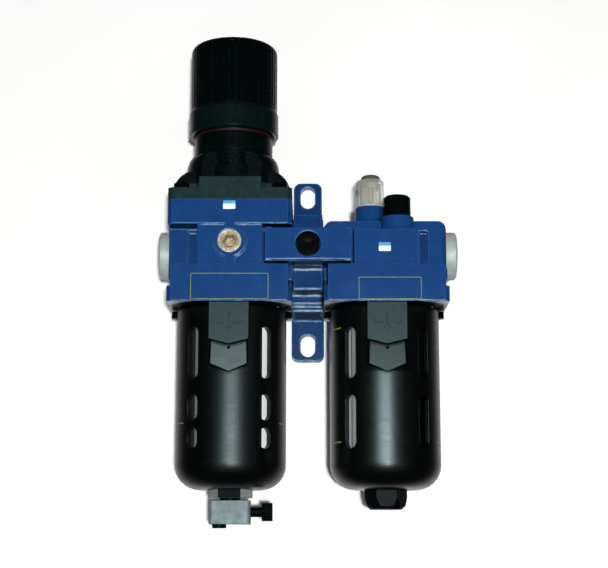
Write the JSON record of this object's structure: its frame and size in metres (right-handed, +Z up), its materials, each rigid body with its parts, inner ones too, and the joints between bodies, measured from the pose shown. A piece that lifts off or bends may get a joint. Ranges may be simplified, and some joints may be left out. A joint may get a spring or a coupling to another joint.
{
  "type": "filter regulator lubricator",
  "caption": "Compressed-air filter regulator and lubricator on one wall bracket: blue bodies, black adjusting knob, guarded bowls with latches, drain and side ports.",
  "frame": {"origin": "on the wall face of the bracket, midway between its two slots and level with the port axis", "axes": "+Z up, +X from the inlet to the outlet, +Y into the wall; the front faces -Y"},
  "size_m": [0.172, 0.0774, 0.283],
  "materials": {
    "blue_paint": "gloss blue enamel on a casting",
    "black_steel": "black oxide",
    "rubber": "matt",
    "bare_alloy": "machined casting",
    "brass": "turned",
    "black_paint": "satin black on a casting",
    "steel": "zinc plated",
    "spring_steel": "drawn wire",
    "orange": "gloss",
    "black_plastic": "moulded, fine grain",
    "porous": "sintered",
    "guard_paint": "gloss black enamel",
    "clear_bowl": "clear polycarbonate",
    "clear_dome": "clear polycarbonate",
    "latch_grey": "moulded dark grey",
    "siphon_plastic": "milky tube"
  },
  "bodies": {
    "frame": {"spacer_bracket": "blue_paint", "front_clamp": "blue_paint", "clamp_screw": "black_steel", "spacer_seals": "rubber", "inlet_port_bush": "bare_alloy", "outlet_port_bush": "bare_alloy", "regulator_body": "blue_paint", "gauge_plug": "brass", "bonnet": "black_paint", "bonnet_screws": "steel", "lock_ring": "orange", "regulating_spring": "spring_steel", "diaphragm": "rubber", "valve_seat": "brass", "valve_spring": "spring_steel", "valve_cage": "black_plastic", "deflector": "black_plastic", "filter_element": "porous", "baffle": "black_plastic", "lubricator_body": "blue_paint", "sight_dome": "clear_dome", "sight_dome_seal": "rubber", "drip_tube": "brass", "siphon_tube": "siphon_plastic", "siphon_strainer": "brass", "flow_damper": "rubber"},
    "spindle": {"adjusting_screw": "steel"},
    "knob": {"control_knob": "black_plastic"},
    "seat": {"spring_seat": "steel"},
    "valve": {"valve_poppet": "brass", "diaphragm_plate": "steel"},
    "filter_cup": {"filter_guard": "guard_paint", "filter_bowl": "clear_bowl", "filter_bowl_seal": "rubber", "filter_lock_spring": "spring_steel", "drain_nut": "steel", "drain_fitting": "black_plastic", "drain_block": "bare_alloy", "drain_nozzle": "black_plastic"},
    "filter_latch": {"filter_lock_button": "latch_grey"},
    "drain_ring": {"drain_screw_seal": "rubber"},
    "drain_valve": {"drain_screw": "black_plastic"},
    "oil_cup": {"lubricator_guard": "guard_paint", "lubricator_bowl": "clear_bowl", "lubricator_bowl_seal": "rubber", "lubricator_lock_spring": "spring_steel", "bowl_plug": "black_plastic"},
    "oil_latch": {"lubricator_lock_button": "latch_grey"},
    "fill_ring": {"fill_plug_seal": "rubber"},
    "fill_cap": {"fill_plug": "black_plastic"},
    "drip_cap": {"drip_adjuster": "black_plastic"},
    "needle": {"drip_needle": "steel"},
    "ball": {"check_ball": "steel"}
  },
  "joints": [
    {"name": "pressure_adjust", "type": "hinge", "parent": "frame", "child": "spindle", "pos_m": [-0.044, -0.042, 0.1], "axis": [0, 0, 1], "range_deg": [0, 1080]},
    {"name": "knob_lock", "type": "slide", "parent": "spindle", "child": "knob", "axis": [0, 0, 1], "range_m": [-0.003, 0]},
    {"name": "spring_seat_travel", "type": "slide", "parent": "frame", "child": "seat", "axis": [0, 0, -1], "range_m": [0, 0.006], "deforming": ["regulating_spring"]},
    {"name": "valve_open", "type": "slide", "parent": "frame", "child": "valve", "axis": [0, 0, -1], "range_m": [0, 0.0015], "stiffness_N_per_m": 2000, "springref_m": -0.003, "deforming": ["valve_spring", "diaphragm"]},
    {"name": "filter_bowl_twist", "type": "hinge", "parent": "frame", "child": "filter_cup", "pos_m": [-0.044, -0.042, -0.08], "axis": [0, 0, 1], "range_deg": [0, 45]},
    {"name": "filter_lock_press", "type": "slide", "parent": "filter_cup", "child": "filter_latch", "axis": [0, 0, -1], "range_m": [0, 0.004], "stiffness_N_per_m": 300, "springref_m": -0.004, "deforming": ["filter_lock_spring"]},
    {"name": "drain_travel", "type": "slide", "parent": "filter_cup", "child": "drain_ring", "axis": [1, 0, 0], "range_m": [0, 0.003]},
    {"name": "drain_turn", "type": "hinge", "parent": "drain_ring", "child": "drain_valve", "pos_m": [-0.044, -0.042, -0.1473], "axis": [1, 0, 0], "range_deg": [0, 1080]},
    {"name": "lubricator_bowl_twist", "type": "hinge", "parent": "frame", "child": "oil_cup", "pos_m": [0.044, -0.042, -0.08], "axis": [0, 0, 1], "range_deg": [0, 45]},
    {"name": "lubricator_lock_press", "type": "slide", "parent": "oil_cup", "child": "oil_latch", "axis": [0, 0, -1], "range_m": [0, 0.004], "stiffness_N_per_m": 300, "springref_m": -0.004, "deforming": ["lubricator_lock_spring"]},
    {"name": "fill_plug_lift", "type": "slide", "parent": "frame", "child": "fill_ring", "axis": [0, 0, 1], "range_m": [0, 0.012]},
    {"name": "fill_plug_turn", "type": "hinge", "parent": "fill_ring", "child": "fill_cap", "pos_m": [0.0509, -0.064, 0.025], "axis": [0, 0, 1], "range_deg": [0, 2160]},
    {"name": "drip_adjust", "type": "hinge", "parent": "frame", "child": "drip_cap", "pos_m": [0.0364, -0.052, 0.045], "axis": [0, 0, 1], "range_deg": [0, 576]},
    {"name": "needle_lift", "type": "slide", "parent": "frame", "child": "needle", "axis": [0, 0, 1], "range_m": [0, 0.0008]},
    {"name": "check_ball_lift", "type": "slide", "parent": "frame", "child": "ball", "axis": [0, 0, 1], "range_m": [0, 0.001]}
  ],
  "couplings": [
    {"joint": "pressure_adjust", "follows": "spring_seat_travel", "rad_per_m": 3141.3},
    {"joint": "drain_turn", "follows": "drain_travel", "rad_per_m": 6282.6},
    {"joint": "fill_plug_turn", "follows": "fill_plug_lift", "rad_per_m": 3141.3},
    {"joint": "drip_adjust", "follows": "needle_lift", "rad_per_m": 12565}
  ]
}
